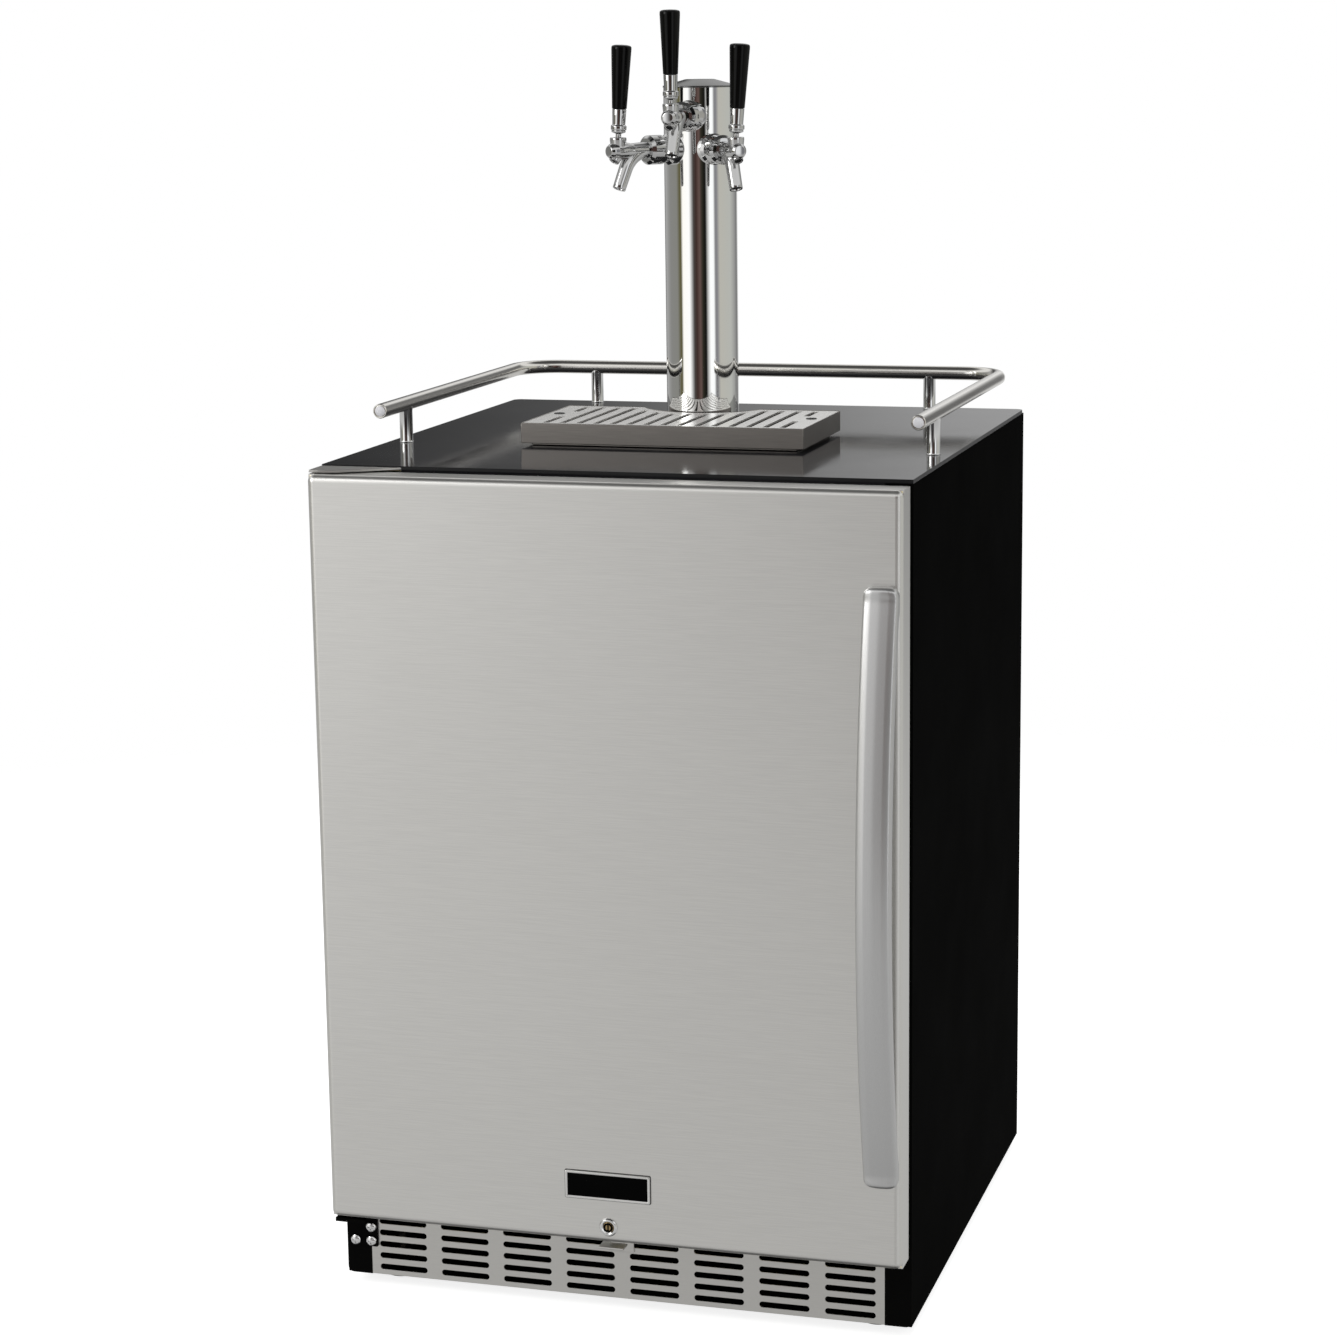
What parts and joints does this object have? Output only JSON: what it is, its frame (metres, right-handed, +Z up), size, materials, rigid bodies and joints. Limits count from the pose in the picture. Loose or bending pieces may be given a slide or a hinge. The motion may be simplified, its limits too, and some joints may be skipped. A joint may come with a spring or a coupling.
{
  "type": "kegerator",
  "caption": "Insulated keg cabinet with a left-hung steel door, bow handle, kick grille, column tower with faucets, drip tray and guard rail.",
  "frame": {"origin": "on the floor at the middle of the footprint, the handle's reach included", "axes": "+Z up, -Y towards the door, +X to the right seen from the front"},
  "size_m": [0.596, 0.6799, 1.293],
  "materials": {
    "black_sheet": "satin textured",
    "worktop_black": "gloss",
    "foam": "matt",
    "liner_plastic": "satin",
    "stainless": "satin brushed",
    "chrome": "polished",
    "aluminium": "satin",
    "brass": "satin",
    "copper": "satin",
    "black_plastic": "matt",
    "gloss_black": "gloss",
    "rubber": "matt",
    "black_iron": "satin paint"
  },
  "bodies": {
    "cabinet": {"side_panel_left": "black_sheet", "side_panel_right": "black_sheet", "rear_panel": "black_sheet", "worktop": "worktop_black", "insulation": "foam", "inner_liner": "liner_plastic", "base_frame": "black_sheet", "kick_grille": "stainless", "machine_cover": "black_sheet", "compressor": "black_iron", "condenser": "copper", "fan_shroud": "black_plastic", "evaporation_pan": "black_plastic", "refrigerant_lines": "copper", "power_inlet": "black_plastic", "evaporator_cover": "liner_plastic", "thermostat_housing": "liner_plastic", "keg_plate": "stainless", "guard_rail": "stainless", "rail_posts": "chrome", "tower_column": "chrome", "tower_cap": "stainless", "tap_shanks": "chrome", "shank_flanges": "chrome", "coupling_nuts": "chrome", "faucet_left": "chrome", "faucet_centre": "chrome", "faucet_right": "chrome", "hinge_bracket": "black_sheet", "hinge_plate": "stainless", "hinge_screws": "chrome", "lock_strike": "stainless", "co2_cylinder": "aluminium", "co2_valve": "brass", "co2_strap": "black_sheet", "regulator": "brass"},
    "door": {"door_skin": "stainless", "door_foam": "foam", "door_liner": "liner_plastic", "door_gasket": "rubber", "door_handle": "aluminium", "badge": "stainless", "lock_body": "chrome"},
    "lock": {"lock_plug": "brass"},
    "tap_left": {"tap_lever_left": "chrome", "tap_handle_left": "gloss_black"},
    "tap_centre": {"tap_lever_centre": "chrome", "tap_handle_centre": "gloss_black"},
    "tap_right": {"tap_lever_right": "chrome", "tap_handle_right": "gloss_black"},
    "tray": {"drip_tray": "stainless"},
    "grate": {"drip_grate": "stainless"},
    "cooling_fan": {"condenser_fan": "black_plastic"},
    "air_fan": {"circulation_fan": "black_plastic"},
    "gas_wheel": {"valve_wheel": "black_plastic"},
    "dial": {"thermostat_knob": "black_plastic"},
    "foot_fl": {"foot_front_left": "black_plastic"},
    "foot_fr": {"foot_front_right": "black_plastic"},
    "foot_rl": {"foot_rear_left": "black_plastic"},
    "foot_rr": {"foot_rear_right": "black_plastic"}
  },
  "joints": [
    {"name": "door_hinge", "type": "hinge", "parent": "cabinet", "child": "door", "pos_m": [-0.285, -0.272, 0.4], "axis": [0, 0, -1], "range_deg": [0, 115]},
    {"name": "lock_turn", "type": "hinge", "parent": "door", "child": "lock", "pos_m": [0, -0.29, 0.105], "axis": [0, 1, 0], "range_deg": [0, 90]},
    {"name": "tap_left_pull", "type": "hinge", "parent": "cabinet", "child": "tap_left", "pos_m": [-0.06223, -0.00388, 1.161], "axis": [0.8192, -0.5736, 0], "range_deg": [0, 35]},
    {"name": "tap_centre_pull", "type": "hinge", "parent": "cabinet", "child": "tap_centre", "pos_m": [0, -0.0235, 1.195], "axis": [1, 0, 0], "range_deg": [0, 35]},
    {"name": "tap_right_pull", "type": "hinge", "parent": "cabinet", "child": "tap_right", "pos_m": [0.06223, -0.00388, 1.161], "axis": [0.8192, 0.5736, 0], "range_deg": [0, 35]},
    {"name": "tray_lift", "type": "slide", "parent": "cabinet", "child": "tray", "axis": [0, 0, 1], "range_m": [0, 0.08]},
    {"name": "grate_lift", "type": "slide", "parent": "tray", "child": "grate", "axis": [0, 0, 1], "range_m": [0, 0.08]},
    {"name": "condenser_fan_spin", "type": "hinge", "parent": "cabinet", "child": "cooling_fan", "pos_m": [-0.065, 0.275, 0.109], "axis": [1, 0, 0], "continuous": true},
    {"name": "circulation_fan_spin", "type": "hinge", "parent": "cabinet", "child": "air_fan", "pos_m": [0.16, 0.27, 0.69], "axis": [0, 1, 0], "continuous": true},
    {"name": "gas_wheel_turn", "type": "hinge", "parent": "cabinet", "child": "gas_wheel", "pos_m": [-0.17, 0.234, 0.64], "axis": [0, 0, 1], "range_deg": [0, 340]},
    {"name": "dial_turn", "type": "hinge", "parent": "cabinet", "child": "dial", "pos_m": [0.15, -0.234, 0.793], "axis": [0, -1, 0], "range_deg": [0, 270]},
    {"name": "foot_fl_level", "type": "slide", "parent": "cabinet", "child": "foot_fl", "axis": [0, 0, -1], "range_m": [0, 0.015]},
    {"name": "foot_fr_level", "type": "slide", "parent": "cabinet", "child": "foot_fr", "axis": [0, 0, -1], "range_m": [0, 0.015]},
    {"name": "foot_rl_level", "type": "slide", "parent": "cabinet", "child": "foot_rl", "axis": [0, 0, -1], "range_m": [0, 0.015]},
    {"name": "foot_rr_level", "type": "slide", "parent": "cabinet", "child": "foot_rr", "axis": [0, 0, -1], "range_m": [0, 0.015]}
  ]
}
